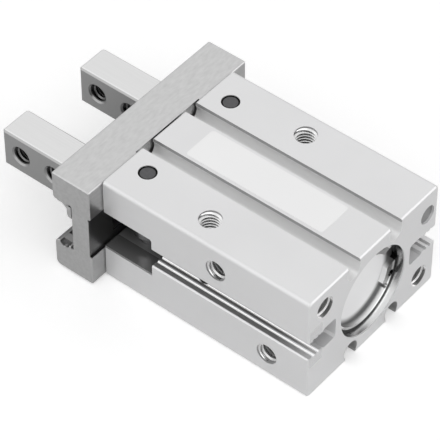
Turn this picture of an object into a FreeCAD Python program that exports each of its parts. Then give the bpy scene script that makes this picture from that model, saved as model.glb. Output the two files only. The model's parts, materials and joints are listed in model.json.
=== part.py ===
import FreeCAD, Part
import Sketcher
import os
import re
from FreeCAD import Vector

# Two-jaw parallel air gripper, modelled closed.
# Origin: centre of the rear locating bore on the rear face.
# X runs forward to the fingers, Y to the side with the air ports, Z up to the label.

SIZES = {
    # Housing, cut from a grooved aluminium extrusion
    "body_length": 52.8,
    "body_width": 42.0,
    "body_height": 27.6,
    "body_edge_round": 1.0,
    "body_face_chamfer": 0.3,
    # Sensor grooves along the top and bottom faces
    "groove_centre": 6.8,
    "groove_opening": 3.5,
    "groove_undercut": 4.2,
    "groove_undercut_depth": 2.1,
    # Undercut slots along both sides, with two fine grooves in each lip
    "slot_mouth": 5.2,
    "slot_opening": 4.6,
    "slot_lip_depth": 4.5,
    "slot_chamber": 5.6,
    "slot_depth": 8.8,
    "slot_corner": 0.5,
    "slot_line_start": 1.8,
    "slot_line_pitch": 1.4,
    "slot_line_depth": 0.4,
    # Cross pocket for the levers, and the stepped cylinder bore
    "pocket_length": 12.8,
    "pocket_height": 10.4,
    "pocket_corner_round": 0.6,
    "cylinder_bore": 20.0,
    "cylinder_end": 26.0,
    "rear_bore": 21.0,
    "rear_bore_end": 7.4,
    "seal_pocket_bore": 15.0,
    "seal_pocket_depth": 3.0,
    # Retaining ring and its groove
    "ring_start": 1.9,
    "ring_thickness": 1.3,
    "ring_groove_bore": 22.3,
    "ring_opening_width": 5.4,
    "ring_inner": 18.4,
    "ring_lug_inner": 14.8,
    "ring_lug_angle": 50.0,
    "ring_lug_relief": 1.2,
    "ring_lug_relief_angle": 54.0,
    "ring_lug_hole": 1.6,
    "ring_lug_hole_angle": 35.0,
    "ring_gap_angle": 165.0,
    # Threaded holes, drawn at the thread's major diameter
    "bolt_thread": 5.0,
    "top_bolt_x": 29.3,
    "top_bolt_y": 15.3,
    "rear_bolt_y": 16.0,
    "rear_bolt_z": 9.0,
    "rear_bolt_depth": 8.0,
    "port_thread": 5.0,
    "port_depth": 5.0,
    "rear_port_x": 10.3,
    "rear_port_z": 7.8,
    "front_port_x": 23.4,
    "front_port_z": 7.6,
    "passage_diameter": 1.8,
    "plug_diameter": 4.4,
    "plug_hole_depth": 3.4,
    "plug_recess": 0.5,
    "plug_y": 17.7,
    "plug_z": 7.7,
    # Guide rail, a ground steel channel that carries the fingers
    "guide_thickness": 10.0,
    "guide_width": 50.0,
    "guide_height": 26.8,
    "guide_web": 5.1,
    "guide_mouth": 12.2,
    "guide_edge_round": 0.5,
    "guide_lower_round": 1.2,
    "guide_lip_round": 0.9,
    "guide_end_chamfer": 0.2,
    "end_recess_top": 4.8,
    "end_recess_depth": 0.15,
    "corner_relief": 0.9,
    "corner_relief_inset": 0.3,
    "race_offset": 2.4,
    "race_z": 5.8,
    "ball_diameter": 2.5,
    "window_inner": 8.8,
    "window_outer": 17.6,
    "window_height": 6.8,
    "relief_width": 20.0,
    "relief_band": 11.0,
    "relief_depth": 0.45,
    "stopper_length": 3.0,
    "stopper_recess": 1.4,
    "stopper_foot": 0.8,
    "stopper_foot_width": 1.15,
    "stopper_foot_drop": 3.3,
    "stopper_foot_corner": 0.9,
    # Guide screws and dowels
    "screw_y": 18.0,
    "screw_z": 9.75,
    "screw_thread": 2.5,
    "screw_head": 4.5,
    "screw_head_height": 2.5,
    "screw_socket": 2.0,
    "screw_bite": 6.0,
    "dowel_z": 9.2,
    "dowel_diameter": 3.0,
    "dowel_half_length": 3.0,
    # Fingers
    "finger_reach": 22.0,
    "finger_inner": 8.15,
    "finger_width": 8.0,
    "finger_height": 10.0,
    "finger_chamfer": 0.5,
    "finger_travel": 5.0,
    "finger_thread": 4.0,
    "finger_hole_inset": 5.0,
    "finger_hole_pitch": 9.0,
    "finger_countersink": 0.5,
    "carriage_length": 4.5,
    "carriage_inner": 0.6,
    "carriage_outer": 19.0,
    "carriage_height": 11.0,
    "balls_in_row": 6.0,
    "ball_pitch": 2.55,
    "ball_row_start": 4.25,
    # Levers and their shafts
    "shaft_setback": 5.5,
    "shaft_y": 13.2,
    "shaft_diameter": 4.0,
    "shaft_recess": 0.2,
    "outer_arm": 12.3,
    "inner_arm": 9.4,
    "lever_thickness": 5.2,
    "lever_boss": 6.8,
    "lever_end": 3.6,
    "lever_arm_root": 5.0,
    "lever_arm_neck": 2.6,
    # Piston, rod and what seals them
    "piston_start": 8.2,
    "piston_length": 10.0,
    "piston_boss_length": 3.2,
    "piston_boss": 16.0,
    "seal_groove_start": 1.0,
    "seal_width": 2.0,
    "seal_groove_floor": 15.8,
    "magnet_groove_start": 4.2,
    "magnet_width": 1.8,
    "rod_diameter": 10.0,
    "rod_spigot": 6.0,
    "rod_spigot_length": 6.4,
    "rod_web": 3.2,
    "rod_nose": 3.25,
    "piston_screw_thread": 3.0,
    "piston_screw_head": 7.0,
    "piston_screw_head_height": 1.8,
    "piston_screw_bite": 7.0,
    "bumper_inner": 10.4,
    "bumper_outer": 18.0,
    "bumper_thickness": 1.6,
    "rod_seal_width": 2.1,
    "cap_groove_floor": 18.4,
    "cap_groove_start": 1.5,
    "cap_groove_width": 1.6,
    # Label on the top face
    "label_start": 9.9,
    "label_length": 34.9,
    "label_width": 8.8,
    "label_thickness": 0.08,
    "label_corner": 0.8,
    # Clearances
    "running_clearance": 0.05,
    "lever_end_clearance": 0.05,
    "lever_face_clearance": 0.2,
    "screw_clearance": 0.1,
    "seat_clearance": 0.02,
    "carriage_gap": 0.3,
    "notch_end_gap": 0.4,
}

# Places along X that follow from the sizes
POCKET_REAR = "(body_length - pocket_length)"
SHAFT_X = "(body_length - shaft_setback)"
GUIDE_FRONT = "(body_length + guide_thickness)"
WEB_FRONT = "(body_length + guide_web)"
RACE_X = f"({WEB_FRONT} + race_offset)"
FINGER_TIP = f"({GUIDE_FRONT} + finger_reach)"
# Half the cylinder's radius, where a cross hole ends inside the bore
INSIDE_BORE = "cylinder_bore / 4"

# Sketch plane for each axis, with the sign of its normal along that axis
PLANES = {"x": ("YZ_Plane", 1), "y": ("XZ_Plane", -1), "z": ("XY_Plane", 1)}
TURN_TO_AXIS = {
    "x": FreeCAD.Rotation(Vector(0, 1, 0), 90),
    "y": FreeCAD.Rotation(Vector(1, 0, 0), -90),
    "z": FreeCAD.Rotation(),
}
NEAR = 0.001

doc = FreeCAD.newDocument("gripper")
sheet = doc.addObject("Spreadsheet::Sheet", "Sizes")
for row, (alias, size) in enumerate(SIZES.items(), start=1):
    sheet.set(f"A{row}", alias)
    sheet.set(f"B{row}", str(size))
    sheet.setAlias(f"B{row}", alias)
doc.recompute()

ALIAS = re.compile(r"\b(" + "|".join(SIZES) + r")\b")
pieces = []


def value(text):
    """The number that an expression on the sheet gives."""
    return float(sheet.evalExpression(text))


def bind(item, path, text):
    """Ties one property of an item to an expression on the sheet."""
    item.setExpression(path, ALIAS.sub(r"Sizes.\1", text))


def outline(*corners):
    """A closed outline of straight sides, each corner tied to the sheet."""
    def draw(sketch):
        spots = [Vector(value(across), value(up), 0) for across, up in corners]
        first = sketch.GeometryCount
        for here, after in zip(spots, spots[1:] + spots[:1]):
            sketch.addGeometry(Part.LineSegment(here, after), False)
        for index, corner in enumerate(corners):
            side = first + index
            next_side = first + (index + 1) % len(corners)
            sketch.addConstraint(Sketcher.Constraint("Coincident", side, 2, next_side, 1))
            for kind, text in zip(("DistanceX", "DistanceY"), corner):
                limit = Sketcher.Constraint(kind, -1, 1, side, 1, value(text))
                number = sketch.addConstraint(limit)
                bind(sketch, f"Constraints[{number}]", text)
    return draw


def rectangle(left, bottom, right, top):
    """A rectangle between two corners."""
    return outline((left, bottom), (right, bottom), (right, top), (left, top))


def disc(across, up, diameter):
    """A circle at a place on the sketch."""
    def draw(sketch):
        centre = Vector(value(across), value(up), 0)
        circle = Part.Circle(centre, Vector(0, 0, 1), value(diameter) / 2)
        curve = sketch.addGeometry(circle, False)
        for kind, text in (("DistanceX", across), ("DistanceY", up)):
            number = sketch.addConstraint(Sketcher.Constraint(kind, -1, 1, curve, 3, value(text)))
            bind(sketch, f"Constraints[{number}]", text)
        number = sketch.addConstraint(Sketcher.Constraint("Diameter", curve, value(diameter)))
        bind(sketch, f"Constraints[{number}]", diameter)
    return draw


def sketch_on(body, name, axis, offset, shapes):
    """A sketch on one of the body's own planes, moved along its axis."""
    role, sign = PLANES[axis]
    plane = next(item for item in body.Origin.OriginFeatures if item.Role == role)
    sketch = body.newObject("Sketcher::SketchObject", name + "_sketch")
    sketch.AttachmentSupport = [(plane, "")]
    sketch.MapMode = "FlatFace"
    bind(sketch, "AttachmentOffset.Base.z", offset if sign > 0 else f"-({offset})")
    for draw in shapes:
        draw(sketch)
    return sketch


def extrude(body, kind, name, axis, low, high, *shapes):
    """Adds (Pad) or cuts (Pocket) shapes between two places along an axis."""
    sketch = sketch_on(body, name, axis, low, shapes)
    before = body.Shape.Volume if body.Tip else 0.0
    feature = body.newObject("PartDesign::" + kind, name)
    feature.Profile = sketch
    bind(feature, "Length", f"({high}) - ({low})")
    feature.Reversed = (kind == "Pad") == (PLANES[axis][1] < 0)
    doc.recompute()
    change = body.Shape.Volume - before
    if (change > NEAR) != (kind == "Pad"):
        raise RuntimeError(f"{body.Label}: {name} changes nothing")
    return feature


def pad(body, name, axis, low, high, *shapes):
    """Adds material."""
    return extrude(body, "Pad", name, axis, low, high, *shapes)


def pocket(body, name, axis, low, high, *shapes):
    """Removes material."""
    return extrude(body, "Pocket", name, axis, low, high, *shapes)


def finish_edges(body, kind, name, size, chosen):
    """Rounds (Fillet) or bevels (Chamfer) the edges that a test picks."""
    base = body.Tip
    names = [f"Edge{n}" for n, edge in enumerate(base.Shape.Edges, start=1) if chosen(edge)]
    feature = body.newObject("PartDesign::" + kind, name)
    feature.Base = (base, names)
    bind(feature, "Radius" if kind == "Fillet" else "Size", size)
    doc.recompute()
    return feature


def runs_along(edge, axis):
    """True for a straight edge parallel to an axis."""
    if not isinstance(edge.Curve, Part.Line):
        return False
    direction = edge.Curve.Direction
    return abs(abs(getattr(direction, axis)) - 1) < NEAR


def lies_at(edge, axis, place):
    """True for an edge that lies in the plane across an axis at a place."""
    box = edge.BoundBox
    low = getattr(box, axis.upper() + "Min")
    high = getattr(box, axis.upper() + "Max")
    return abs(low - place) < NEAR and abs(high - place) < NEAR


def new_body(label):
    """A new body that becomes one sub-part."""
    body = doc.addObject("PartDesign::Body", label)
    body.Label = label
    pieces.append(body)
    return body


def turned(label, *corners):
    """A body turned about the X axis from an outline of (x, radius) corners."""
    body = new_body(label)
    sketch = sketch_on(body, "profile", "z", "0", [outline(*corners)])
    feature = body.newObject("PartDesign::Revolution", "turned")
    feature.Profile = sketch
    feature.ReferenceAxis = (sketch, ["H_Axis"])
    feature.Angle = 360
    doc.recompute()
    return body


def cylinder(label, axis, diameter, low, high, **centre):
    """A plain cylinder along an axis between two places on it."""
    item = doc.addObject("Part::Cylinder", label)
    bind(item, "Radius", f"({diameter}) / 2")
    bind(item, "Height", f"({high}) - ({low})")
    item.Placement = FreeCAD.Placement(Vector(), TURN_TO_AXIS[axis])
    centre[axis] = low
    for direction, text in centre.items():
        bind(item, f"Placement.Base.{direction}", text)
    return item


def join(kind, label, items):
    """A boolean or a group made of other items."""
    item = doc.addObject("Part::" + kind, label)
    setattr(item, "Links" if kind == "Compound" else "Shapes", items)
    item.Label = label
    return item


def cut(label, base, tool):
    """One item cut from another."""
    item = doc.addObject("Part::Cut", label)
    item.Base = base
    item.Tool = tool
    item.Label = label
    return item


def side_name(side):
    """Name of the side at +Y or -Y."""
    return "left" if side > 0 else "right"


def housing():
    """Extruded housing: grooves and slots first, then bores, pocket, threads and air ways."""
    body = new_body("body_extrusion")
    half_width, half_height = "body_width / 2", "body_height / 2"
    block = rectangle(f"-{half_width}", f"-{half_height}", half_width, half_height)
    pad(body, "block", "x", "0", "body_length", block)
    finish_edges(body, "Fillet", "long_edges", "body_edge_round", lambda e: runs_along(e, "x"))
    length = value("body_length")
    finish_edges(body, "Chamfer", "end_edges", "body_face_chamfer",
                 lambda e: lies_at(e, "x", 0) or lies_at(e, "x", length))

    ends = ("x", "0", "body_length")
    groove = "groove_opening / 2"
    for level, sign in (("top", 1), ("bottom", -1)):
        openings = []
        undercuts = []
        for side in (1, -1):
            centre = f"{side} * groove_centre"
            floor = f"{sign} * (body_height / 2 - groove_undercut_depth)"
            face = f"{sign} * body_height"
            openings.append(rectangle(f"{centre} - {groove}", floor, f"{centre} + {groove}", face))
            undercuts.append(disc(centre, floor, "groove_undercut"))
        pocket(body, f"{level}_groove_openings", *ends, *openings)
        pocket(body, f"{level}_groove_undercuts", *ends, *undercuts)

    lip, chamber = "slot_opening / 2", "slot_chamber / 2"
    upper = [("0", "slot_mouth / 2"), (f"slot_mouth / 2 - {lip}", lip)]
    for count in (0, 1):
        middle = f"slot_line_start + {count} * slot_line_pitch"
        upper += [(f"{middle} - slot_line_depth", lip), (middle, f"{lip} + slot_line_depth"),
                  (f"{middle} + slot_line_depth", lip)]
    upper += [("slot_lip_depth", lip), (f"slot_lip_depth + {chamber} - {lip}", chamber),
              ("slot_depth - slot_corner", chamber), ("slot_depth", f"{chamber} - slot_corner")]
    lower = [(depth, f"-({height})") for depth, height in reversed(upper)]
    for side in (1, -1):
        section = outline(*[(f"{side} * (body_width / 2 - ({depth}))", height)
                            for depth, height in upper + lower])
        pocket(body, f"{side_name(side)}_slot", "x", "0",
               f"{POCKET_REAR} + pocket_corner_round", section)

    pocket_half = "pocket_height / 2"
    lever_room = rectangle(POCKET_REAR, f"-{pocket_half}", "body_length", pocket_half)
    pocket(body, "lever_pocket", "y", f"-{half_width}", half_width, lever_room)
    rear, ceiling = value(POCKET_REAR), value(pocket_half)
    finish_edges(body, "Fillet", "pocket_corner", "pocket_corner_round",
                 lambda e: runs_along(e, "y") and lies_at(e, "x", rear)
                 and abs(e.CenterOfMass.z - ceiling) < NEAR)

    pocket(body, "cylinder", "x", "0", "cylinder_end", disc("0", "0", "cylinder_bore"))
    pocket(body, "locating_bore", "x", "0", "rear_bore_end", disc("0", "0", "rear_bore"))
    pocket(body, "ring_groove", "x", "ring_start - running_clearance",
           "ring_start + ring_thickness + running_clearance", disc("0", "0", "ring_groove_bore"))
    pocket(body, "seal_pocket", "x", "cylinder_end", "cylinder_end + seal_pocket_depth",
           disc("0", "0", "seal_pocket_bore"))
    pocket(body, "rod_hole", "x", "cylinder_end", f"{POCKET_REAR} + pocket_corner_round",
           disc("0", "0", "rod_diameter + 2 * running_clearance"))

    through = ("z", f"-{half_height}", half_height)
    pocket(body, "top_bolt_holes", *through,
           *[disc("top_bolt_x", f"{side} * top_bolt_y", "bolt_thread") for side in (1, -1)])
    pocket(body, "shaft_holes", *through,
           *[disc(SHAFT_X, f"{side} * shaft_y", "shaft_diameter + 2 * seat_clearance")
             for side in (1, -1)])
    pocket(body, "rear_bolt_holes", "x", "0", "rear_bolt_depth",
           *[disc(f"{side} * rear_bolt_y", f"{side} * rear_bolt_z", "bolt_thread")
             for side in (1, -1)])

    ports = (("rear", "rear_port_x", "-rear_port_z"), ("front", "front_port_x", "front_port_z"))
    for name, x_place, z_place in ports:
        pocket(body, f"{name}_port", "y", f"{half_width} - port_depth", half_width,
               disc(x_place, z_place, "port_thread"))
        pocket(body, f"{name}_air_way", "y", INSIDE_BORE, f"{half_width} - port_depth",
               disc(x_place, z_place, "passage_diameter"))
    pocket(body, "plug_hole", "x", "0", "plug_hole_depth",
           disc("-plug_y", "plug_z", "plug_diameter"))
    pocket(body, "long_air_way", "x", "plug_hole_depth", "front_port_x + passage_diameter / 2",
           disc("-plug_y", "plug_z", "passage_diameter"))
    pocket(body, "cross_air_way", "y", "-plug_y", f"-{INSIDE_BORE}",
           disc("front_port_x", "plug_z", "passage_diameter"))

    screw_spots = [disc(f"{side} * screw_y", f"{level} * screw_z", "screw_thread")
                   for side in (1, -1) for level in (1, -1)]
    pocket(body, "guide_screw_holes", "x", "body_length - screw_bite - notch_end_gap",
           "body_length", *screw_spots)
    pocket(body, "dowel_holes", "x", "body_length - dowel_half_length", "body_length",
           *[disc("0", f"{level} * dowel_z", "dowel_diameter + 2 * seat_clearance")
             for level in (1, -1)])


def guide_rail():
    """Steel channel across the front: its mouth faces forward and holds the fingers."""
    body = new_body("guide_rail")
    rear, web, front = "body_length", WEB_FRONT, GUIDE_FRONT
    half_height, half_mouth = "guide_height / 2", "guide_mouth / 2"
    profile = outline(
        (rear, f"-{half_height}"), (front, f"-{half_height}"), (front, f"-{half_mouth}"),
        (web, f"-{half_mouth}"), (web, half_mouth), (front, half_mouth),
        (front, half_height), (rear, half_height))
    end = "guide_width / 2"
    across = ("y", f"-{end}", end)
    pad(body, "channel", *across, profile)
    front_x, rear_x = value(front), value(rear)
    lip_z, edge_z = value(half_mouth), value(half_height)

    def at(edge, x_place, z_place):
        centre = edge.CenterOfMass
        return (runs_along(edge, "y") and abs(centre.x - x_place) < NEAR
                and abs(centre.z - z_place) < NEAR)

    finish_edges(body, "Fillet", "lip_rounds", "guide_lip_round",
                 lambda e: at(e, front_x, lip_z) or at(e, front_x, -lip_z))
    finish_edges(body, "Fillet", "lower_round", "guide_lower_round",
                 lambda e: at(e, front_x, -edge_z))
    finish_edges(body, "Fillet", "outer_rounds", "guide_edge_round",
                 lambda e: at(e, front_x, edge_z) or at(e, rear_x, edge_z)
                 or at(e, rear_x, -edge_z))
    end_y = value(end)
    finish_edges(body, "Chamfer", "end_edges", "guide_end_chamfer",
                 lambda e: lies_at(e, "y", end_y) or lies_at(e, "y", -end_y))
    band = "relief_band / 2"
    recess = outline((rear, f"-{half_height}"), (front, f"-{half_height}"),
                     (front, "end_recess_top"), (f"{rear} + {band} - end_recess_top", "end_recess_top"),
                     (rear, band))
    for name, low, high in (("left", f"{end} - end_recess_depth", end),
                            ("right", f"-{end}", f"end_recess_depth - {end}")):
        pocket(body, f"{name}_end_recess", "y", low, high, recess)
    pocket(body, "races", *across,
           *[disc(RACE_X, f"{level} * race_z", "ball_diameter + 2 * running_clearance")
             for level in (1, -1)])
    pocket(body, "corner_reliefs", *across,
           *[disc(f"{web} + corner_relief_inset", f"{level} * {half_mouth}", "corner_relief")
             for level in (1, -1)])
    windows = [rectangle(f"{side} * window_inner", "-window_height / 2",
                         f"{side} * window_outer", "window_height / 2") for side in (1, -1)]
    pocket(body, "lever_windows", "x", rear, web, *windows)
    pocket(body, "rear_relief", "x", rear, f"{rear} + relief_depth",
           rectangle("-relief_width / 2", "-guide_height", "relief_width / 2", "guide_height"))
    pocket(body, "rear_band", "x", rear, f"{rear} + relief_depth",
           rectangle("-guide_width", f"-{band}", "guide_width", band))
    spots = [(f"{side} * screw_y", f"{level} * screw_z") for side in (1, -1) for level in (1, -1)]
    pocket(body, "screw_holes", "x", rear, front,
           *[disc(y, z, "screw_thread + 2 * screw_clearance") for y, z in spots])
    pocket(body, "screw_counterbores", "x", f"{front} - screw_head_height - notch_end_gap", front,
           *[disc(y, z, "screw_head + 2 * screw_clearance") for y, z in spots])
    pocket(body, "dowel_holes", "x", rear, f"{rear} + dowel_half_length",
           *[disc("0", f"{level} * dowel_z", "dowel_diameter + 2 * seat_clearance")
             for level in (1, -1)])


def finger(side):
    """Finger: a block that rides in the channel, with the gripping bar in front of it."""
    body = new_body("finger_" + side_name(side))
    carriage_rear = f"{WEB_FRONT} + carriage_gap"
    carriage_front = f"{carriage_rear} + carriage_length"
    inner, outer = f"{side} * finger_inner", f"{side} * (finger_inner + finger_width)"
    bar = rectangle(inner, "-finger_height / 2", outer, "finger_height / 2")
    pad(body, "bar", "x", carriage_rear, FINGER_TIP, bar)
    tip = value(FINGER_TIP)
    finish_edges(body, "Chamfer", "bar_edges", "finger_chamfer",
                 lambda e: runs_along(e, "x") or lies_at(e, "x", tip))
    carriage = rectangle(f"{side} * carriage_inner", "-carriage_height / 2",
                         f"{side} * carriage_outer", "carriage_height / 2")
    pad(body, "carriage", "x", carriage_rear, carriage_front, carriage)
    sides = sorted((f"{side} * carriage_inner", f"{side} * carriage_outer"), key=value)
    pocket(body, "ball_grooves", "y", *sides,
           *[disc(RACE_X, f"{level} * race_z", "ball_diameter + 2 * running_clearance")
             for level in (1, -1)])
    notch_half = "(lever_end / 2 + lever_end_clearance)"
    notch_centre = f"{side} * (shaft_y - finger_travel / 2)"
    notch_depth = f"{SHAFT_X} + outer_arm + lever_end / 2 + notch_end_gap"
    notch_height = "lever_thickness / 2 + lever_face_clearance"
    notch = rectangle(f"{notch_centre} - {notch_half}", f"-({notch_height})",
                      f"{notch_centre} + {notch_half}", notch_height)
    pocket(body, "lever_notch", "x", carriage_rear, notch_depth, notch)
    bar_sides = sorted((inner, outer), key=value)
    first_hole = f"{FINGER_TIP} - finger_hole_inset"
    pocket(body, "attachment_holes", "y", *bar_sides, disc(first_hole, "0", "finger_thread"),
           disc(f"{first_hole} - finger_hole_pitch", "0", "finger_thread"))
    holes_rear = value(f"{first_hole} - finger_hole_pitch - finger_thread")
    finish_edges(body, "Chamfer", "countersinks", "finger_countersink",
                 lambda e: isinstance(e.Curve, Part.Circle) and e.CenterOfMass.x > holes_rear)


def lever(side):
    """Bell-crank lever about its shaft: one arm to the finger, one to the rod."""
    body = new_body("lever_" + side_name(side))
    thick = ("z", "-lever_thickness / 2", "lever_thickness / 2")
    pad(body, "boss", *thick, disc("0", "0", "lever_boss"))
    root, neck = "lever_arm_root / 2", "lever_arm_neck / 2"
    forward = outline(("0", f"-{root}"), ("outer_arm", f"-{neck}"), ("outer_arm", neck), ("0", root))
    inward = outline((f"-{root}", "0"), (f"-{neck}", f"{-side} * inner_arm"),
                     (neck, f"{-side} * inner_arm"), (root, "0"))
    pad(body, "finger_arm", *thick, forward)
    pad(body, "rod_arm", *thick, inward)
    pad(body, "finger_end", *thick, disc("outer_arm", "0", "lever_end"))
    pad(body, "rod_end", *thick, disc("0", f"{-side} * inner_arm", "lever_end"))
    pocket(body, "shaft_hole", *thick, disc("0", "0", "shaft_diameter + 2 * running_clearance"))
    bind(body, "Placement.Base.x", SHAFT_X)
    bind(body, "Placement.Base.y", f"{side} * shaft_y")
    bind(body, "Placement.Rotation.Angle", f"{-side} * asin(finger_travel / 2 / outer_arm)")


def lever_shaft(side):
    """Hardened shaft, right through the housing from the top face to the bottom face."""
    end = "body_height / 2 - shaft_recess"
    shaft = cylinder("lever_shaft_" + side_name(side), "z", "shaft_diameter", f"-({end})", end,
                     x=SHAFT_X, y=f"{side} * shaft_y")
    pieces.append(shaft)


def piston_group():
    """Piston with its seal and magnet, the rod, and the screw that joins them."""
    front = "piston_start + piston_length"
    land_start = "piston_start + piston_boss_length"
    land = "cylinder_bore / 2 - running_clearance"
    groove_floor = "seal_groove_floor / 2"
    bore = "rod_spigot / 2 + seat_clearance"
    screw_seat = "piston_start + piston_length - rod_spigot_length"
    head_room = "piston_screw_head / 2 + running_clearance"
    seal_start = f"{land_start} + seal_groove_start"
    magnet_start = f"{land_start} + magnet_groove_start"
    turned("piston",
           ("piston_start", head_room), ("piston_start", "piston_boss / 2"),
           (land_start, "piston_boss / 2"), (land_start, land),
           (seal_start, land), (seal_start, groove_floor),
           (f"{seal_start} + seal_width", groove_floor), (f"{seal_start} + seal_width", land),
           (magnet_start, land), (magnet_start, groove_floor),
           (f"{magnet_start} + magnet_width", groove_floor),
           (f"{magnet_start} + magnet_width", land),
           (front, land), (front, bore), (screw_seat, bore), (screw_seat, head_room))
    ring_inner = "seal_groove_floor / 2 + seat_clearance"
    for label, start, width, outer in (
            ("piston_seal", seal_start, "seal_width", "cylinder_bore / 2 - seat_clearance"),
            ("magnet_ring", magnet_start, "magnet_width", "cylinder_bore / 2 - 2 * running_clearance")):
        low, high = f"{start} + seat_clearance", f"{start} + {width} - seat_clearance"
        turned(label, (low, ring_inner), (low, outer), (high, outer), (high, ring_inner))

    notch_centre = f"{SHAFT_X} - inner_arm * finger_travel / 2 / outer_arm"
    nose = f"{notch_centre} + rod_nose"
    tapped = "piston_screw_thread / 2 + seat_clearance"
    tap_end = f"{screw_seat} + piston_screw_bite + notch_end_gap"
    rod = turned("piston_rod",
                 (screw_seat, tapped), (screw_seat, "rod_spigot / 2"), (front, "rod_spigot / 2"),
                 (front, "rod_diameter / 2"), (nose, "rod_diameter / 2"), (nose, "0"),
                 (tap_end, "0"), (tap_end, tapped))
    half = "(lever_end / 2 + lever_end_clearance)"
    for side in (1, -1):
        notch = rectangle(f"{notch_centre} - {half}", f"{side} * rod_web / 2",
                          f"{notch_centre} + {half}", f"{side} * rod_diameter")
        pocket(rod, f"{side_name(side)}_notch", "z", "-rod_diameter / 2", "rod_diameter / 2", notch)
    head_start = f"{screw_seat} - piston_screw_head_height"
    screw = turned("piston_screw",
                   (head_start, "0"), (head_start, "piston_screw_head / 2"),
                   (screw_seat, "piston_screw_head / 2"), (screw_seat, "piston_screw_thread / 2"),
                   (f"{screw_seat} + piston_screw_bite", "piston_screw_thread / 2"),
                   (f"{screw_seat} + piston_screw_bite", "0"))
    drive = "screw_socket / 2"
    pocket(screw, "drive", "x", head_start, f"{head_start} + screw_socket / 2",
           rectangle(f"-{drive}", f"-{drive}", drive, drive))


def cylinder_fittings():
    """Rod seal, front bumper, end cap with its gasket, and the plug of the air way."""
    seal_end = "cylinder_end + seal_pocket_depth"
    seal_inner = "rod_diameter / 2 + seat_clearance"
    seal_outer = "seal_pocket_bore / 2 - seat_clearance"
    turned("rod_seal", (f"{seal_end} - rod_seal_width", seal_inner),
           (f"{seal_end} - rod_seal_width", seal_outer), (seal_end, seal_outer),
           (seal_end, seal_inner))
    bumper_start = "cylinder_end - bumper_thickness"
    turned("front_bumper", (bumper_start, "bumper_inner / 2"), (bumper_start, "bumper_outer / 2"),
           ("cylinder_end", "bumper_outer / 2"), ("cylinder_end", "bumper_inner / 2"))
    cap_start = "ring_start + ring_thickness"
    cap_outer = "rear_bore / 2 - running_clearance"
    groove = f"{cap_start} + cap_groove_start"
    groove_floor = "cap_groove_floor / 2"
    turned("end_cap", (cap_start, "0"), (cap_start, cap_outer), (groove, cap_outer),
           (groove, groove_floor), (f"{groove} + cap_groove_width", groove_floor),
           (f"{groove} + cap_groove_width", cap_outer), ("rear_bore_end", cap_outer),
           ("rear_bore_end", "0"))
    low, high = f"{groove} + seat_clearance", f"{groove} + cap_groove_width - seat_clearance"
    gasket_inner, gasket_outer = f"{groove_floor} + seat_clearance", "rear_bore / 2 - seat_clearance"
    turned("cap_gasket", (low, gasket_inner), (low, gasket_outer), (high, gasket_outer),
           (high, gasket_inner))
    plug = cylinder("passage_plug", "x", "plug_diameter - 2 * seat_clearance", "plug_recess",
                    "plug_hole_depth", y="-plug_y", z="plug_z")
    pieces.append(plug)


def retaining_ring():
    """Internal circlip in the rear bore: open on one side, with two curved lugs at its ends."""
    ring = new_body("retaining_ring")
    thick = ("x", "ring_start", "ring_start + ring_thickness")
    beyond = "ring_groove_bore"
    pad(ring, "lugs", *thick, disc("0", "0", "ring_inner + ring_lug_relief"),
        disc("0", "0", "ring_lug_inner"))
    lug_limit = (f"{beyond} * sin(ring_lug_angle)", f"{beyond} * cos(ring_lug_angle)")
    pocket(ring, "lug_ends", *thick,
           outline(("0", "0"), lug_limit, (beyond, f"-{beyond}"), (f"-{beyond}", f"-{beyond}"),
                   (f"-{lug_limit[0]}", lug_limit[1])))
    pad(ring, "plate", *thick, disc("0", "0", "ring_groove_bore - 4 * running_clearance"),
        disc("0", "0", "ring_inner"))
    half_gap = "ring_opening_width / 2"
    pocket(ring, "opening", *thick, rectangle(f"-{half_gap}", "0", half_gap, beyond))
    holes = []
    for angle, diameter in (("ring_lug_hole_angle", "ring_lug_hole"),
                            ("ring_lug_relief_angle", "ring_lug_relief")):
        for side in (1, -1):
            holes.append(disc(f"{side} * ring_inner / 2 * sin({angle})",
                              f"ring_inner / 2 * cos({angle})", diameter))
    pocket(ring, "lug_holes", *thick, *holes)
    ring.Placement = FreeCAD.Placement(Vector(), FreeCAD.Rotation(Vector(1, 0, 0), 0))
    bind(ring, "Placement.Rotation.Angle", "ring_gap_angle - 90")


def fasteners():
    """Socket screws and dowels between guide rail and housing."""
    head_end = f"{GUIDE_FRONT} - notch_end_gap"
    head_start = f"{head_end} - screw_head_height"
    screws = []
    for side in (1, -1):
        for level in (1, -1):
            place = {"y": f"{side} * screw_y", "z": f"{level} * screw_z"}
            shank = cylinder("screw_shank", "x", "screw_thread - 2 * seat_clearance",
                             "body_length - screw_bite", head_start, **place)
            head = cylinder("screw_head", "x", "screw_head", head_start, head_end, **place)
            socket = doc.addObject("Part::Prism", "screw_socket")
            socket.Polygon = 6
            bind(socket, "Circumradius", "screw_socket / sqrt(3)")
            bind(socket, "Height", "screw_socket")
            socket.Placement = FreeCAD.Placement(Vector(), TURN_TO_AXIS["x"])
            bind(socket, "Placement.Base.x", f"{head_end} - screw_socket / 2")
            bind(socket, "Placement.Base.y", place["y"])
            bind(socket, "Placement.Base.z", place["z"])
            blank = join("MultiFuse", "screw_blank", [shank, head])
            screws.append(cut("guide_screw", blank, socket))
    pieces.append(join("Compound", "guide_screws", screws))
    dowels = [cylinder("dowel", "x", "dowel_diameter", "body_length - dowel_half_length",
                       "body_length + dowel_half_length", y="0", z=f"{level} * dowel_z")
              for level in (1, -1)]
    pieces.append(join("Compound", "guide_dowels", dowels))


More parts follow.
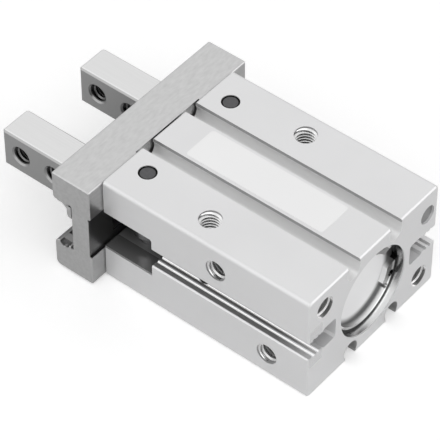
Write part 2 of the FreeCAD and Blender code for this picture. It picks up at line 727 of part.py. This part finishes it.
def stopper_foot(side):
    """Foot of an upper stopper: it fills the channel's corner at the end of the rail."""
    foot = doc.addObject("PartDesign::Body", "stopper_foot")
    back, ceiling = f"{WEB_FRONT} + seat_clearance", "guide_mouth / 2 - seat_clearance"
    front, bottom = f"{WEB_FRONT} + stopper_foot_width", f"{ceiling} - stopper_foot_drop"
    ends = sorted((f"{side} * (guide_width / 2 - stopper_foot)", f"{side} * guide_width / 2"),
                  key=value)
    corner = "stopper_foot_corner"
    pad(foot, "foot", "y", *ends,
        outline((back, bottom), (f"{front} - {corner} / 3", f"{bottom} + {corner} / 3"),
                (front, f"{bottom} + {corner}"), (front, f"{ceiling} - {corner}"),
                (RACE_X, f"{ceiling} + 2 * running_clearance"), (RACE_X, f"race_z + {corner}"),
                (f"{front} + running_clearance", ceiling), (back, ceiling)))
    return foot


def ball_rows():
    """Four rows of steel balls between the carriages and the channel, and their stoppers."""
    for side in (1, -1):
        for level, name in ((1, "upper"), (-1, "lower")):
            balls = []
            for count in range(int(value("balls_in_row"))):
                ball = doc.addObject("Part::Sphere", "ball")
                bind(ball, "Radius", "ball_diameter / 2")
                bind(ball, "Placement.Base.x", RACE_X)
                bind(ball, "Placement.Base.y", f"{side} * (ball_row_start + {count} * ball_pitch)")
                bind(ball, "Placement.Base.z", f"{level} * race_z")
                balls.append(ball)
            pieces.append(join("Compound", f"ball_row_{side_name(side)}_{name}", balls))
    stoppers = []
    end = "guide_width / 2"
    for side in (1, -1):
        for level in (1, -1):
            outside = end if level > 0 else f"{end} - stopper_recess"
            ends = sorted((f"{side} * ({end} - stopper_length)", f"{side} * ({outside})"), key=value)
            pin = cylinder("stopper_pin", "y", "ball_diameter + running_clearance", *ends,
                           x=RACE_X, z=f"{level} * race_z")
            flat = doc.addObject("Part::Box", "stopper_flat")
            bind(flat, "Length", "2 * ball_diameter")
            bind(flat, "Width", "guide_width")
            bind(flat, "Height", "guide_mouth")
            bind(flat, "Placement.Base.x", f"{RACE_X} - ball_diameter")
            bind(flat, "Placement.Base.y", f"-{end}")
            bind(flat, "Placement.Base.z", f"{level} * seat_clearance - guide_mouth / 2")
            stopper = cut("ball_stopper", pin, flat)
            if level > 0:
                stopper = join("MultiFuse", "footed_stopper", [stopper, stopper_foot(side)])
            stoppers.append(stopper)
    pieces.append(join("Compound", "ball_stoppers", stoppers))


def label():
    """Thin film label on the top face, between the grooves."""
    body = new_body("label_film")
    sheet_outline = rectangle("label_start", "-label_width / 2",
                              "label_start + label_length", "label_width / 2")
    pad(body, "film", "z", "body_height / 2", "body_height / 2 + label_thickness", sheet_outline)
    finish_edges(body, "Fillet", "corners", "label_corner", lambda e: runs_along(e, "z"))


housing()
guide_rail()
for side in (1, -1):
    finger(side)
    lever(side)
    lever_shaft(side)
piston_group()
cylinder_fittings()
retaining_ring()
fasteners()
ball_rows()
label()
doc.recompute()

for item in doc.Objects:
    if {"Invalid", "Error"} & set(item.State):
        raise RuntimeError(f"{item.Label} did not compute")
for piece in pieces:
    if piece.Shape.isNull() or not piece.Shape.isValid():
        raise RuntimeError(f"{piece.Label} has no valid shape")

os.makedirs("parts", exist_ok=True)
for piece in pieces:
    piece.Shape.exportStep(f"parts/{piece.Label}.step")
    print(piece.Label, len(piece.Shape.Solids), round(piece.Shape.Volume, 1))
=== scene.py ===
import json

import bpy
import numpy as np
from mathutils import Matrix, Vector


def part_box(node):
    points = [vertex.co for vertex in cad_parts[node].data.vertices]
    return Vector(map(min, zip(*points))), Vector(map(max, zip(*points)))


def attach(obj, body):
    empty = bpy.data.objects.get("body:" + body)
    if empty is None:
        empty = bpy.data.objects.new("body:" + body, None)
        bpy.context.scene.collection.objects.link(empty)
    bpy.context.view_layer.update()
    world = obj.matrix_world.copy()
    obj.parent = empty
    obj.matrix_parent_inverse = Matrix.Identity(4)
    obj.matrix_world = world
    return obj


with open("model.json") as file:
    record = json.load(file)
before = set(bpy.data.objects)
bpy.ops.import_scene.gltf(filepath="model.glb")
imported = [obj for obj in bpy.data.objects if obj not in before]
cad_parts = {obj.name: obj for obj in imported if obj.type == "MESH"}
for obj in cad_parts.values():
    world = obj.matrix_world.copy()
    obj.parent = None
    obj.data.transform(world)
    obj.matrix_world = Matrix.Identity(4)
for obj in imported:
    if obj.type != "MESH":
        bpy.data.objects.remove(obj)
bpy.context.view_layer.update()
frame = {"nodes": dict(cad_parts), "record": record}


# Studio: four soft lamps round the gripper, the large ones on the side of its rim and its
# ports. The camera stands behind it on its left and well above, as in the photograph.
CAMERA_PLACE = (-0.21234, 0.30874, 0.41242)
CAMERA_AIM = (0.03605, 0.00405, 0.0)
CAMERA_LENS = 228.3
CAMERA_SENSOR = 36.0
CAMERA_NEAR = 0.01
LAMP_AIM = (0.04, 0.0, 0.0)
LAMPS = (
    # name, place, width, height, power
    ("overhead_softbox", (0.28, -0.33, 0.46), 0.5, 0.4, 0.1),
    ("rim_softbox", (0.50, 0.70, 0.50), 1.2, 1.2, 1.6),
    ("side_softbox", (-0.38, 0.30, 0.44), 1.0, 0.8, 1.4),
    ("rear_softbox", (-0.66, -0.50, 0.36), 0.5, 0.5, 0.9),
)

scene = bpy.context.scene
scene.view_settings.view_transform = "Standard"


def aimed(kind_data, name, place, aim):
    """A camera or lamp at a place, turned so that its -Z axis meets the aim."""
    item = bpy.data.objects.new(name, kind_data)
    item.location = place
    item.rotation_euler = (Vector(aim) - Vector(place)).to_track_quat("-Z", "Y").to_euler()
    scene.collection.objects.link(item)
    return item


lens = bpy.data.cameras.new("camera")
lens.lens = CAMERA_LENS
lens.sensor_width = CAMERA_SENSOR
lens.clip_start = CAMERA_NEAR
scene.camera = aimed(lens, "camera", CAMERA_PLACE, CAMERA_AIM)
for name, place, width, height, power in LAMPS:
    lamp = bpy.data.lights.new(name, "AREA")
    lamp.shape = "RECTANGLE"
    lamp.size = width
    lamp.size_y = height
    lamp.energy = power
    aimed(lamp, name, place, LAMP_AIM)


# Table: a pale matt sheet at the height of the gripper's bottom face. It glows a little
# for the camera alone, so that it reaches white there and still carries the shadow.
TABLE_HALF = 2.0
TABLE_COLOUR = (0.93, 0.93, 0.93)
TABLE_GLOW = 0.36


class Field:
    """A value over a surface. Operators on it add Math nodes, node() adds any other."""

    def __init__(self, socket):
        self.socket = socket

    def node(self, kind, inputs, output=0, **settings):
        """A node of a kind, with its settings made first and then its sockets fed."""
        tree = self.socket.id_data
        made = tree.nodes.new("ShaderNode" + kind)
        for name, setting in settings.items():
            setattr(made, name, setting)
        for name, given in inputs.items():
            if isinstance(given, Field):
                tree.links.new(given.socket, made.inputs[name])
            else:
                made.inputs[name].default_value = given
        return Field(made.outputs[output])

    def math(self, operation, *values):
        """A Math node on one or two values."""
        return self.node("Math", dict(enumerate(values)), operation=operation)

    def __add__(self, other):
        return self.math("ADD", self, other)

    __radd__ = __add__

    def __sub__(self, other):
        return self.math("SUBTRACT", self, other)

    def __rsub__(self, other):
        return self.math("SUBTRACT", other, self)

    def __mul__(self, other):
        return self.math("MULTIPLY", self, other)

    __rmul__ = __mul__

    def __lt__(self, other):
        return self.math("LESS_THAN", self, other)

    def __gt__(self, other):
        return self.math("GREATER_THAN", self, other)

    def __abs__(self):
        return self.math("ABSOLUTE", self)

    def split(self):
        """The three parts of a vector."""
        return [self.node("SeparateXYZ", {"Vector": self}, output=index) for index in range(3)]

    def feeds(self, shader, name):
        """Links this value to a socket of a shader."""
        self.socket.id_data.links.new(self.socket, shader.inputs[name])


def new_finish(name, colour, roughness, metallic=1.0):
    """A material with one shader. Returns it, its shader and the object coordinates."""
    material = bpy.data.materials.new(name)
    material.use_nodes = True
    tree = material.node_tree
    shader = tree.nodes["Principled BSDF"]
    shader.inputs["Base Color"].default_value = (*colour, 1)
    shader.inputs["Roughness"].default_value = roughness
    shader.inputs["Metallic"].default_value = metallic
    place = Field(tree.nodes.new("ShaderNodeTexCoord").outputs["Object"])
    return material, shader, place


def rays(tree, kind):
    """1 for light rays of one kind and 0 for all others."""
    return Field(tree.nodes.new("ShaderNodeLightPath").outputs[f"Is {kind} Ray"])


def mount(name):
    """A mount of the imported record, by its name."""
    return next(entry for entry in frame["record"]["mounts"] if entry["name"] == name)


table_z = mount("bottom_face")["pos_m"][2]
table_corners = [(x * TABLE_HALF, y * TABLE_HALF, table_z)
                 for x, y in ((-1, -1), (1, -1), (1, 1), (-1, 1))]
table_mesh = bpy.data.meshes.new("table")
table_mesh.from_pydata(table_corners, [], [(0, 1, 2, 3)])
table = bpy.data.objects.new("table", table_mesh)
scene.collection.objects.link(table)
table_finish, shader, place = new_finish("table", TABLE_COLOUR, roughness=0.9, metallic=0.0)
(rays(table_finish.node_tree, "Camera") * TABLE_GLOW).feeds(shader, "Emission Color")
shader.inputs["Emission Strength"].default_value = 1
table_mesh.materials.append(table_finish)


# Sky: plain white where the camera sees it, straight on, in metal or through something
# clear. As a light it is weaker, so that the pale faces of the gripper don't clip.
SKY_COLOUR = (1.0, 1.0, 1.0, 1.0)
SKY_LIGHT = 0.5


def larger(one, other):
    """The larger of two fields."""
    return one.math("MAXIMUM", one, other)


world = bpy.data.worlds.new("sky")
scene.world = world
world.use_nodes = True
sky = world.node_tree.nodes["Background"]
seen = rays(world.node_tree, "Camera")
for kind in ("Glossy", "Transmission"):
    seen = larger(seen, rays(world.node_tree, kind))
(seen * (1 - SKY_LIGHT) + SKY_LIGHT).feeds(sky, "Strength")
sky.inputs["Color"].default_value = SKY_COLOUR


# Housing: a grooved aluminium extrusion, machined, bead blasted and clear anodised. Its
# skin is a fine satin with faint lines along it, and its cut bore has fine rings. Painted
# shade darkens its groove walls, bottom grooves, side slots, lever pocket and tapped holes,
# painted light brightens the floors of its top grooves, a painted sheen lies on its bore
# wall and a painted highlight on the lips of its rear holes.

# Skin
HOUSING_DARK = (0.74, 0.74, 0.745)
HOUSING_PALE = (0.80, 0.80, 0.805)
HOUSING_METAL = 0.5
HOUSING_ROUGHNESS = 0.40
CUT_ROUGHNESS = 0.22
SATIN_SPREAD = 0.08
LINE_SHARE = 0.5
SKIN = 0.00004
# Grooves along the top and bottom faces: painted shade on their walls and in the bottom grooves,
# painted light on the floors of the top grooves
GROOVE_CENTRE = (0.0068, 0.0117)
GROOVE_HALF = 0.0019
GROOVE_ROUND = 0.0022
GROOVE_NECK = 0.01295
GROOVE_WALL_PAINTED_SHADE = (0.42, 0.42, 0.422)
GROOVE_FLOOR_PAINTED_LIGHT = (0.85, 0.85, 0.85)
BOTTOM_GROOVE_PAINTED_SHADE = (0.42, 0.42, 0.422)
# Side slots and lever pocket, both with painted shade, and the fine lines cut along the lips of
# the left slot
OPENING_HALF = 0.00525
SIDE_FACE = 0.0206
POCKET_REAR = 0.0401
POCKET_BACK = 0.0135
POCKET_MOUTH_PAINTED_SHADE = (0.34, 0.34, 0.34)
POCKET_DEEP_PAINTED_SHADE = (0.08, 0.08, 0.08)
SLOT_FLOOR = 0.0121
SLOT_AND_HOLE_PAINTED_SHADE = (0.25, 0.25, 0.252)
SLOT_FADE = 90
SLOT_DARKEST = 0.8
LIP_END = 0.0165
LINE_HALF = 0.00246
# Tapped holes, with painted shade inside, and the painted highlight on the lips of the rear holes
HOLE_RADIUS = 0.0026
HOLE_PAINTED_SHADE_SHARE = 0.45
PORT_DEPTH = 0.0046
REAR_BOLT = (0.016, 0.009)
REAR_LIP = 0.0009
LIP_PAINTED_HIGHLIGHT = (0.96, 0.96, 0.96)
# Rear bore. A painted sheen brightens its wall towards one side: the slope is across and up, per
# metre
BORE_RADIUS = 0.0113
BORE_START = 0.0003
BORE_FLOOR = 0.0076
BORE_SHADE = (0.46, 0.46, 0.46)
BORE_LIGHT = (0.85, 0.85, 0.85)
SHEEN_SLOPE = (-45, -89)
SHEEN_START = 0.84
SHEEN_FULL = 1.0
# Half a millimetre in metres, which makes half of a spacing in millimetres
HALF_MM = 0.0005


def dress(material, *nodes):
    """Puts a material on every slot of some CAD nodes."""
    for node in nodes:
        item = frame["nodes"][node]
        if not item.material_slots:
            item.data.materials.append(material)
        for slot in item.material_slots:
            slot.material = material


def stretched(place, x, y, z):
    """Object coordinates scaled along each axis, so that a texture is drawn out."""
    return place.node("Mapping", {"Vector": place, "Scale": (x, y, z)})


def noise(place, waves, detail=3.0):
    """Soft noise from 0 to 1, at a number of waves to one unit of the coordinates."""
    return place.node("TexNoise", {"Vector": place, "Scale": waves, "Detail": detail})


def ramped(value, start, full, shape="SMOOTHSTEP"):
    """0 where a value is at its start, 1 where it is full, and a rise between them."""
    return value.node("MapRange", {"Value": value, "From Min": start, "From Max": full},
                      interpolation_type=shape)


def spread(one, other, centre=(0, 0)):
    """Distance of two coordinates from a centre: the root of the sum of their squares."""
    side, rise = one - centre[0], other - centre[1]
    square = side * side + rise * rise
    return square.math("SQRT", square)


def blended(mask, low, high):
    """One colour or field where a mask is 0 and another where it is 1. A colour mix has
    its factor in socket 0, its two colours in 6 and 7, and its result in output 2."""
    ends = [end if isinstance(end, Field) else (*end, 1) for end in (low, high)]
    return mask.node("Mix", {0: mask, 6: ends[0], 7: ends[1]}, output=2, data_type="RGBA")


def bumped(height, shader, strength, depth):
    """Feeds a height field to a shader's normal through a Bump node."""
    bump = height.node("Bump", {"Height": height, "Strength": strength, "Distance": depth})
    bump.feeds(shader, "Normal")


top_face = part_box("body_extrusion")[1].z
port_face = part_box("body_extrusion")[1].y
top_bolt = (mount("top_bolts")["pos_m"][0], mount("top_bolts")["dims"]["spacing_y_mm"] * HALF_MM)
housing, shader, place = new_finish("housing_aluminium", HOUSING_PALE, HOUSING_ROUGHNESS,
                                    HOUSING_METAL)
along, across, up = place.split()
beside, height = abs(across), abs(up)

in_opening = (beside < SIDE_FACE) * (height < OPENING_HALF)
in_pocket = in_opening * (along > POCKET_REAR)
in_slot = in_opening * (beside > SLOT_FLOOR)
fine_line = in_slot * (height > LINE_HALF) * (across > LIP_END)
fade = along * SLOT_FADE
slot_painted_shade = (in_slot - fine_line) * fade.math("MINIMUM", fade, SLOT_DARKEST)

tapped = (spread(along, beside, top_bolt) < HOLE_RADIUS) * (height < top_face - SKIN)
for word in ("rear", "front"):
    port_x, _, port_z = mount(f"air_port_{word}")["pos_m"]
    in_port = (across > port_face - PORT_DEPTH) * (across < port_face - SKIN)
    tapped = larger(tapped, (spread(along, up, (port_x, port_z)) < HOLE_RADIUS) * in_port)
rear_hole = larger(spread(across, up, REAR_BOLT) < HOLE_RADIUS,
                   spread(-1 * across, -1 * up, REAR_BOLT) < HOLE_RADIUS)
tapped = larger(tapped, rear_hole * (along > REAR_LIP))
lip = rear_hole * (along > SKIN) * (along < REAR_LIP)
in_bore = (along < BORE_FLOOR) * (along > BORE_START) * (spread(across, up) < BORE_RADIUS)

groove = (spread(beside, height, GROOVE_CENTRE) < GROOVE_ROUND) * (height < GROOVE_NECK)
groove_edge = (abs(beside - GROOVE_CENTRE[0]) < GROOVE_HALF) * (height > GROOVE_NECK)
groove_edge = groove_edge * (height < top_face - SKIN)

skin = blended(noise(place, waves=60.0), HOUSING_DARK, HOUSING_PALE)
# Painted shade on the groove walls and in the bottom grooves, painted light on the top groove
# floors
skin = blended(groove_edge, blended(groove * (up > 0), skin, GROOVE_FLOOR_PAINTED_LIGHT), GROOVE_WALL_PAINTED_SHADE)
skin = blended(groove * (up < 0), skin, BOTTOM_GROOVE_PAINTED_SHADE)
# Painted sheen: the bore wall goes from shaded to lit towards one side
sheen = ramped(across * SHEEN_SLOPE[0] + up * SHEEN_SLOPE[1], SHEEN_START, SHEEN_FULL)
painted_bore_sheen = blended(sheen, BORE_SHADE, BORE_LIGHT)
# Painted shade in the side slots and the lever pocket, deepening towards the back of the pocket
gloom = ramped(beside, SIDE_FACE, POCKET_BACK, shape="LINEAR")
pocket_painted_shade = blended(gloom, POCKET_MOUTH_PAINTED_SHADE, POCKET_DEEP_PAINTED_SHADE)
# Painted highlight on the lips of the rear holes, painted shade in the slots and tapped holes
outside = blended(lip, blended(in_bore, skin, painted_bore_sheen), LIP_PAINTED_HIGHLIGHT)
outside = blended(larger(slot_painted_shade, tapped * HOLE_PAINTED_SHADE_SHARE), outside, SLOT_AND_HOLE_PAINTED_SHADE)
blended(in_pocket, outside, pocket_painted_shade).feeds(shader, "Base Color")

lines = noise(stretched(place, x=20, y=900, z=900), waves=4.0)
cut_face = larger(larger(fine_line, in_bore), lip)
satin = (lines - 0.5) * SATIN_SPREAD + HOUSING_ROUGHNESS
(satin + cut_face * (CUT_ROUGHNESS - HOUSING_ROUGHNESS)).feeds(shader, "Roughness")
(cut_face * (1 - HOUSING_METAL) + HOUSING_METAL * (1 - in_pocket)).feeds(shader, "Metallic")
grain = noise(place, waves=9000.0, detail=2.0)
rings = noise(stretched(place, x=9000, y=30, z=30), waves=1.0)
skin_height = (grain + lines * LINE_SHARE) * (1 - cut_face) + rings * in_bore
bumped(skin_height, shader, strength=0.12, depth=0.00002)
dress(housing, "body_extrusion")


# Threads: a ridge wound inside each tapped hole, cut bright in the housing and, as painted
# shade, dark in the fingers. The holes of the solids are at the major diameter, and the
# ridge stands inwards from their walls.
SIDES = ((1, "left"), (-1, "right"))
# Steps to a turn, and how far the ridge is sunk into the wall
THREAD_STEPS = 32
THREAD_SINK = 0.00002
# Width at the wall, width at the crest and height, as shares of the pitch
THREAD_ROOT = 0.80
THREAD_CREST = 0.18
THREAD_DEPTH = 0.54
# Steps over which the crest rises, and the share of its height that it starts with
THREAD_RUNOUT = 10
THREAD_START = 0.08
M5 = {"radius": 0.0025, "pitch": 0.0008}
M4 = {"radius": 0.0020, "pitch": 0.0007}
# The two directions across a thread and the one along it, for a thread along each axis
AXES = {"x": ((0, 1, 0), (0, 0, 1), (1, 0, 0)), "y": ((0, 0, 1), (1, 0, 0), (0, 1, 0)),
        "z": ((1, 0, 0), (0, 1, 0), (0, 0, 1))}
# Where the threads begin and end in their holes
EDGE = 0.0002
SLOT_ROOF = 0.0031
REAR_BOLT_DEPTH = 0.0078
COUNTERSINK = 0.0004
BAR_THICKNESS = 0.008


def thread_finish(name, colour, roughness):
    """A cut metal face with a fine grain."""
    finish, shader, place = new_finish(name, colour, roughness)
    bumped(noise(place, waves=5000.0), shader, strength=0.1, depth=0.00001)
    return finish


def thread(name, body, slot, finish, axis, centre, low, high, size):
    """The ridge of an inside thread, riding on a body: a four-sided section moved along a
    helix. Its crest stands off the wall by a share of the pitch, rises to that over the
    first steps and sinks back over the last."""
    radius, pitch = size["radius"], size["pitch"]
    across_axis, up_axis, along_axis = (np.array(row, float) for row in AXES[axis])
    count = int((high - low - pitch) / pitch * THREAD_STEPS) + 1
    step = np.arange(count)
    angle = 2 * np.pi * step / THREAD_STEPS
    middle = low + pitch / 2 + pitch * step / THREAD_STEPS
    rise = np.clip(np.minimum(step, count - 1 - step) / THREAD_RUNOUT, THREAD_START, 1)
    crest = radius - THREAD_DEPTH * pitch * rise
    root = np.full(count, radius + THREAD_SINK)
    half_root, half_crest = THREAD_ROOT * pitch / 2, THREAD_CREST * pitch / 2
    corners = ((root, -half_root), (crest, -half_crest), (crest, half_crest), (root, half_root))
    rows = [np.array(centre) + np.outer(reach * np.cos(angle), across_axis)
            + np.outer(reach * np.sin(angle), up_axis) + np.outer(middle + offset, along_axis)
            for reach, offset in corners]
    points = np.stack(rows, axis=1).reshape(-1, 3)
    first = 4 * np.arange(count - 1)
    quads = []
    for corner in range(4):
        after = (corner + 1) % 4
        quads.append(np.stack([first + corner, first + after, first + 4 + after,
                               first + 4 + corner], axis=1))
    last = 4 * (count - 1)
    faces = np.concatenate(quads + [[(3, 2, 1, 0), (last, last + 1, last + 2, last + 3)]])
    mesh = bpy.data.meshes.new(name)
    mesh.from_pydata(points.tolist(), [], faces.tolist())
    mesh.materials.append(finish)
    item = bpy.data.objects.new(name, mesh)
    scene.collection.objects.link(item)
    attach(item, body)


bright_thread = thread_finish("thread_metal", colour=(0.74, 0.74, 0.74), roughness=0.26)
# The finger threads are darkened as painted shade inside their holes
painted_shade_thread = thread_finish("dark_thread_metal", colour=(0.20, 0.20, 0.20), roughness=0.3)
in_housing = ("housing", "housing_aluminium", bright_thread)
for side, word in SIDES:
    bolt = (top_bolt[0], side * top_bolt[1], 0)
    thread(f"thread_top_{word}", *in_housing, "z", bolt, SLOT_ROOF, top_face - EDGE, M5)
    thread(f"thread_bottom_{word}", *in_housing, "z", bolt, EDGE - top_face, -SLOT_ROOF, M5)
    bolt = (0, side * REAR_BOLT[0], side * REAR_BOLT[1])
    thread(f"thread_rear_{word}", *in_housing, "x", bolt, EDGE, REAR_BOLT_DEPTH, M5)
for word in ("rear", "front"):
    x, y, z = mount(f"air_port_{word}")["pos_m"]
    thread(f"thread_port_{word}", *in_housing, "y", (x, 0, z), y - PORT_DEPTH, y - EDGE, M5)
for side, word in SIDES:
    holes = mount(f"finger_{word}_holes")
    x, y, z = holes["pos_m"]
    half_pitch = holes["dims"]["spacing_x_mm"] * HALF_MM
    low, high = sorted((y - side * COUNTERSINK, y - side * (BAR_THICKNESS - COUNTERSINK)))
    for name, place_x in (("tip", x + half_pitch), ("root", x - half_pitch)):
        thread(f"thread_finger_{word}_{name}", f"finger_{word}", "finger_steel", painted_shade_thread,
               "y", (place_x, 0, z), low, high, M4)


# End cap and piston: turned from aluminium bar, with fine rings round the axis. The cap
# closes the rear bore, and painted shade darkens its face beside the circlip that holds it.
CAP_COLOUR = (0.93, 0.93, 0.935)
CAP_SHADE = (0.06, 0.06, 0.06)
CAP_FACE = 0.0034
SHADE_CENTRE = (0.00064, 0.00077)
SHADE_START = 0.0077
SHADE_FULL = 0.0097
TOOL_RATE = 16000


def worn(shader, pattern, low, high):
    """Feeds a roughness that follows a pattern from a low value to a high one."""
    (pattern * (high - low) + low).feeds(shader, "Roughness")


turned, shader, place = new_finish("turned_aluminium", CAP_COLOUR, roughness=0.5, metallic=0.2)
along, across, up = place.split()
# Painted shade on the cap's face, deepest beside the circlip
shade = ramped(spread(across, up, SHADE_CENTRE), SHADE_START, SHADE_FULL)
blended(shade * (along < CAP_FACE), CAP_COLOUR, CAP_SHADE).feeds(shader, "Base Color")
tool_path = spread(across, up) * TOOL_RATE
rings = tool_path.math("SINE", tool_path)
worn(shader, noise(place, waves=90.0), low=0.45, high=0.55)
bumped(rings + noise(place, waves=4000.0), shader, strength=0.04, depth=0.00001)
dress(turned, "end_cap", "piston")


# Guide rail: a hardened steel channel across the front, ground on all faces and screwed
# to the housing, with a faint mottled sheen. Painted shade darkens it in its channel and
# where it closes the lever pocket. The stoppers of its ball races match it.
GUIDE_DARK = (0.42, 0.42, 0.42)
GUIDE_PALE = (0.60, 0.60, 0.60)
GUIDE_HIDDEN_PAINTED_SHADE = (0.16, 0.16, 0.16)
GUIDE_REAR = 0.0534
BAND_HALF = 0.0056
CHANNEL_PAINTED_SHADE = (0.26, 0.26, 0.26)
CHANNEL_REAR = 0.0578
CHANNEL_HALF = 0.0072
CHANNEL_END = 0.0247

guide, shader, place = new_finish("guide_steel", GUIDE_PALE, roughness=0.34)
along, across, up = place.split()
# Painted shade behind the guide's rear face and in its channel
hidden = (along < GUIDE_REAR) * (abs(up) < BAND_HALF)
channel = (along > CHANNEL_REAR) * (abs(up) < CHANNEL_HALF) * (abs(across) < CHANNEL_END)
mottle = noise(stretched(place, x=1500, y=500, z=1500), waves=1.0, detail=6.0)
skin = blended(channel, blended(mottle, GUIDE_DARK, GUIDE_PALE), CHANNEL_PAINTED_SHADE)
blended(hidden, skin, GUIDE_HIDDEN_PAINTED_SHADE).feeds(shader, "Base Color")
worn(shader, mottle, low=0.26, high=0.42)
marks = noise(stretched(place, x=3000, y=60, z=3000), waves=1.0)
bumped(noise(place, waves=3000.0) + marks, shader, strength=0.1, depth=0.00002)
dress(guide, "guide_rail", "ball_stoppers")


# Fingers: hardened steel bars with long faint grinding marks, each in one piece with the
# block that slides in the guide. They are bright above and below, with painted shade on
# their flanks and inside their tapped holes.
FINGER_TOP = ((0.60, 0.60, 0.60), (0.68, 0.68, 0.68))
FINGER_FLANK_PAINTED_SHADE = (0.38, 0.38, 0.38)
FINGER_HOLE_PAINTED_SHADE = (0.07, 0.07, 0.07)
FINGER_CHAMFER = 0.00035
HOLE_REACH = 0.0028
COUNTERSINK_LIGHT = 0.45
BAR_ROOT = 0.0628
BAR_END = 0.0008

bar_half = BAR_THICKNESS / 2
bar_middle = mount("finger_left_holes")["pos_m"][1] - bar_half
finger_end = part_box("finger_left")[1].x
finger, shader, place = new_finish("finger_steel", FINGER_TOP[0], roughness=0.28)
along, across, up = place.split()
off_middle = abs(abs(across) - bar_middle)
near_face = off_middle > bar_half - FINGER_CHAMFER
flank = larger(off_middle > bar_half - SKIN, near_face * (abs(up) > HOLE_REACH))
flank = flank * (along > BAR_ROOT)
in_hole = (off_middle < bar_half - SKIN) * (abs(up) < HOLE_REACH) * (along < finger_end - BAR_END)
in_hole = in_hole * (1 - near_face * COUNTERSINK_LIGHT)
streaks = noise(stretched(place, x=30, y=1500, z=1500), waves=2.0)
# Painted shade on the flanks and, lighter in the countersinks, inside the holes
skin = blended(flank, blended(streaks, *FINGER_TOP), FINGER_FLANK_PAINTED_SHADE)
blended(in_hole, skin, FINGER_HOLE_PAINTED_SHADE).feeds(shader, "Base Color")
worn(shader, streaks, low=0.26, high=0.38)
bumped(streaks, shader, strength=0.12, depth=0.00002)
dress(finger, "finger_left", "finger_right")


# Levers and piston rod: hardened and polished bearing steel. The levers turn on their
# shafts inside the housing, and the slot of the rod pushes their inner arms.
# The steel is given a darker colour than it has, as painted shade inside the housing.
lever, shader, place = new_finish("lever_steel", colour=(0.34, 0.34, 0.345), roughness=0.2)
worn(shader, noise(place, waves=700.0), low=0.14, high=0.28)
bumped(noise(place, waves=2500.0), shader, strength=0.1, depth=0.00001)
dress(lever, "lever_left", "lever_right", "piston_rod")


# Lever shafts: hardened steel pins that go through the housing from top to bottom. Their
# blackened ends show in both faces, each with a thin painted rim of shadow.
SHAFT_END = 0.013
SHAFT_RIM = 0.00161
SHAFT_SIDE = (0.62, 0.62, 0.63)
SHAFT_FACE = ((0.08, 0.08, 0.083), (0.12, 0.12, 0.123))
RIM_SHADE = (0.004, 0.004, 0.004)
SIDE_ROUGHNESS = 0.16
FACE_ROUGHNESS = 0.44

swing = next(joint for joint in frame["record"]["behaviour"]["joints"]
             if joint["name"] == "lever_left_swing")
shaft, shader, place = new_finish("shaft_steel", SHAFT_FACE[0], FACE_ROUGHNESS)
along, across, up = place.split()
at_end = abs(up) > SHAFT_END
# Painted shadow in a thin rim round each shaft end
rim = (spread(along, abs(across), swing["pos_m"]) > SHAFT_RIM) * at_end
face = blended(noise(place, waves=1800.0), *SHAFT_FACE)
blended(rim, blended(at_end, SHAFT_SIDE, face), RIM_SHADE).feeds(shader, "Base Color")
worn(shader, at_end, SIDE_ROUGHNESS, FACE_ROUGHNESS)
dress(shaft, "lever_shaft_left", "lever_shaft_right")


# Balls: ground and polished bearing steel, six to a row. Two rows carry each finger's
# block in the guide.
ball, shader, place = new_finish("bearing_steel", colour=(0.75, 0.75, 0.76), roughness=0.1)
worn(shader, noise(place, waves=900.0), low=0.06, high=0.16)
dress(ball, "ball_row_left_upper", "ball_row_left_lower", "ball_row_right_upper",
      "ball_row_right_lower")


# Circlip: a ring of bright spring steel with two lugs, snapped into its groove in the
# rear bore. Painted shade darkens it where it goes into the groove and on its lug faces.
RING_COLOUR = (0.88, 0.88, 0.88)
RING_SHADE = (0.03, 0.03, 0.03)
RING_SEAT = 0.0098
RING_FACE = 0.00193
LUG_PAINTED_SHADE = (0.28, 0.28, 0.28)
LUG_REACH = 0.0091

ring, shader, place = new_finish("spring_steel", RING_COLOUR, roughness=0.14)
along, across, up = place.split()
radius = spread(across, up)
# Painted shade on the lug faces and where the ring goes into its groove
lug = (radius < LUG_REACH) * (along < RING_FACE)
face = blended(lug, RING_COLOUR, LUG_PAINTED_SHADE)
blended(radius > RING_SEAT, face, RING_SHADE).feeds(shader, "Base Color")
worn(shader, noise(place, waves=900.0), low=0.1, high=0.2)
dress(ring, "retaining_ring")


# Screws, dowels and plug: plain machined steel. Four screws and two dowels hold the guide
# rail, one screw joins piston and rod, and the plug closes an air way in the rear face.
machined, shader, place = new_finish("plain_steel", colour=(0.30, 0.30, 0.303), roughness=0.32)
worn(shader, noise(place, waves=1200.0), low=0.26, high=0.40)
bumped(noise(place, waves=4000.0), shader, strength=0.1, depth=0.00001)
dress(machined, "passage_plug", "guide_screws", "guide_dowels", "piston_screw")


# Seals, bumper and magnet: black moulded rubber, which in the magnet binds its powder.
# They sit in and on the piston, in the cap and in the housing.
rubber, shader, place = new_finish("nitrile_rubber", colour=(0.028, 0.028, 0.028), roughness=0.6,
                                   metallic=0.0)
worn(shader, noise(place, waves=1500.0), low=0.5, high=0.7)
bumped(noise(place, waves=3000.0), shader, strength=0.15, depth=0.00002)
dress(rubber, "piston_seal", "magnet_ring", "rod_seal", "front_bumper", "cap_gasket")


# Label: a pale metallised film with a clear coat, stuck on top between the two grooves.
# It is left bare.
FILM_COLOUR = (0.84, 0.84, 0.84)
FILM_TONES = ((0.82, 0.82, 0.822), (0.86, 0.86, 0.86))
FILM_COAT = 0.25
COAT_ROUGHNESS = 0.2

film, shader, place = new_finish("label_film", FILM_COLOUR, roughness=0.36, metallic=0.6)
blended(noise(place, waves=45.0), *FILM_TONES).feeds(shader, "Base Color")
shader.inputs["Coat Weight"].default_value = FILM_COAT
shader.inputs["Coat Roughness"].default_value = COAT_ROUGHNESS
bumped(noise(place, waves=2500.0), shader, strength=0.05, depth=0.00001)
dress(film, "label_film")
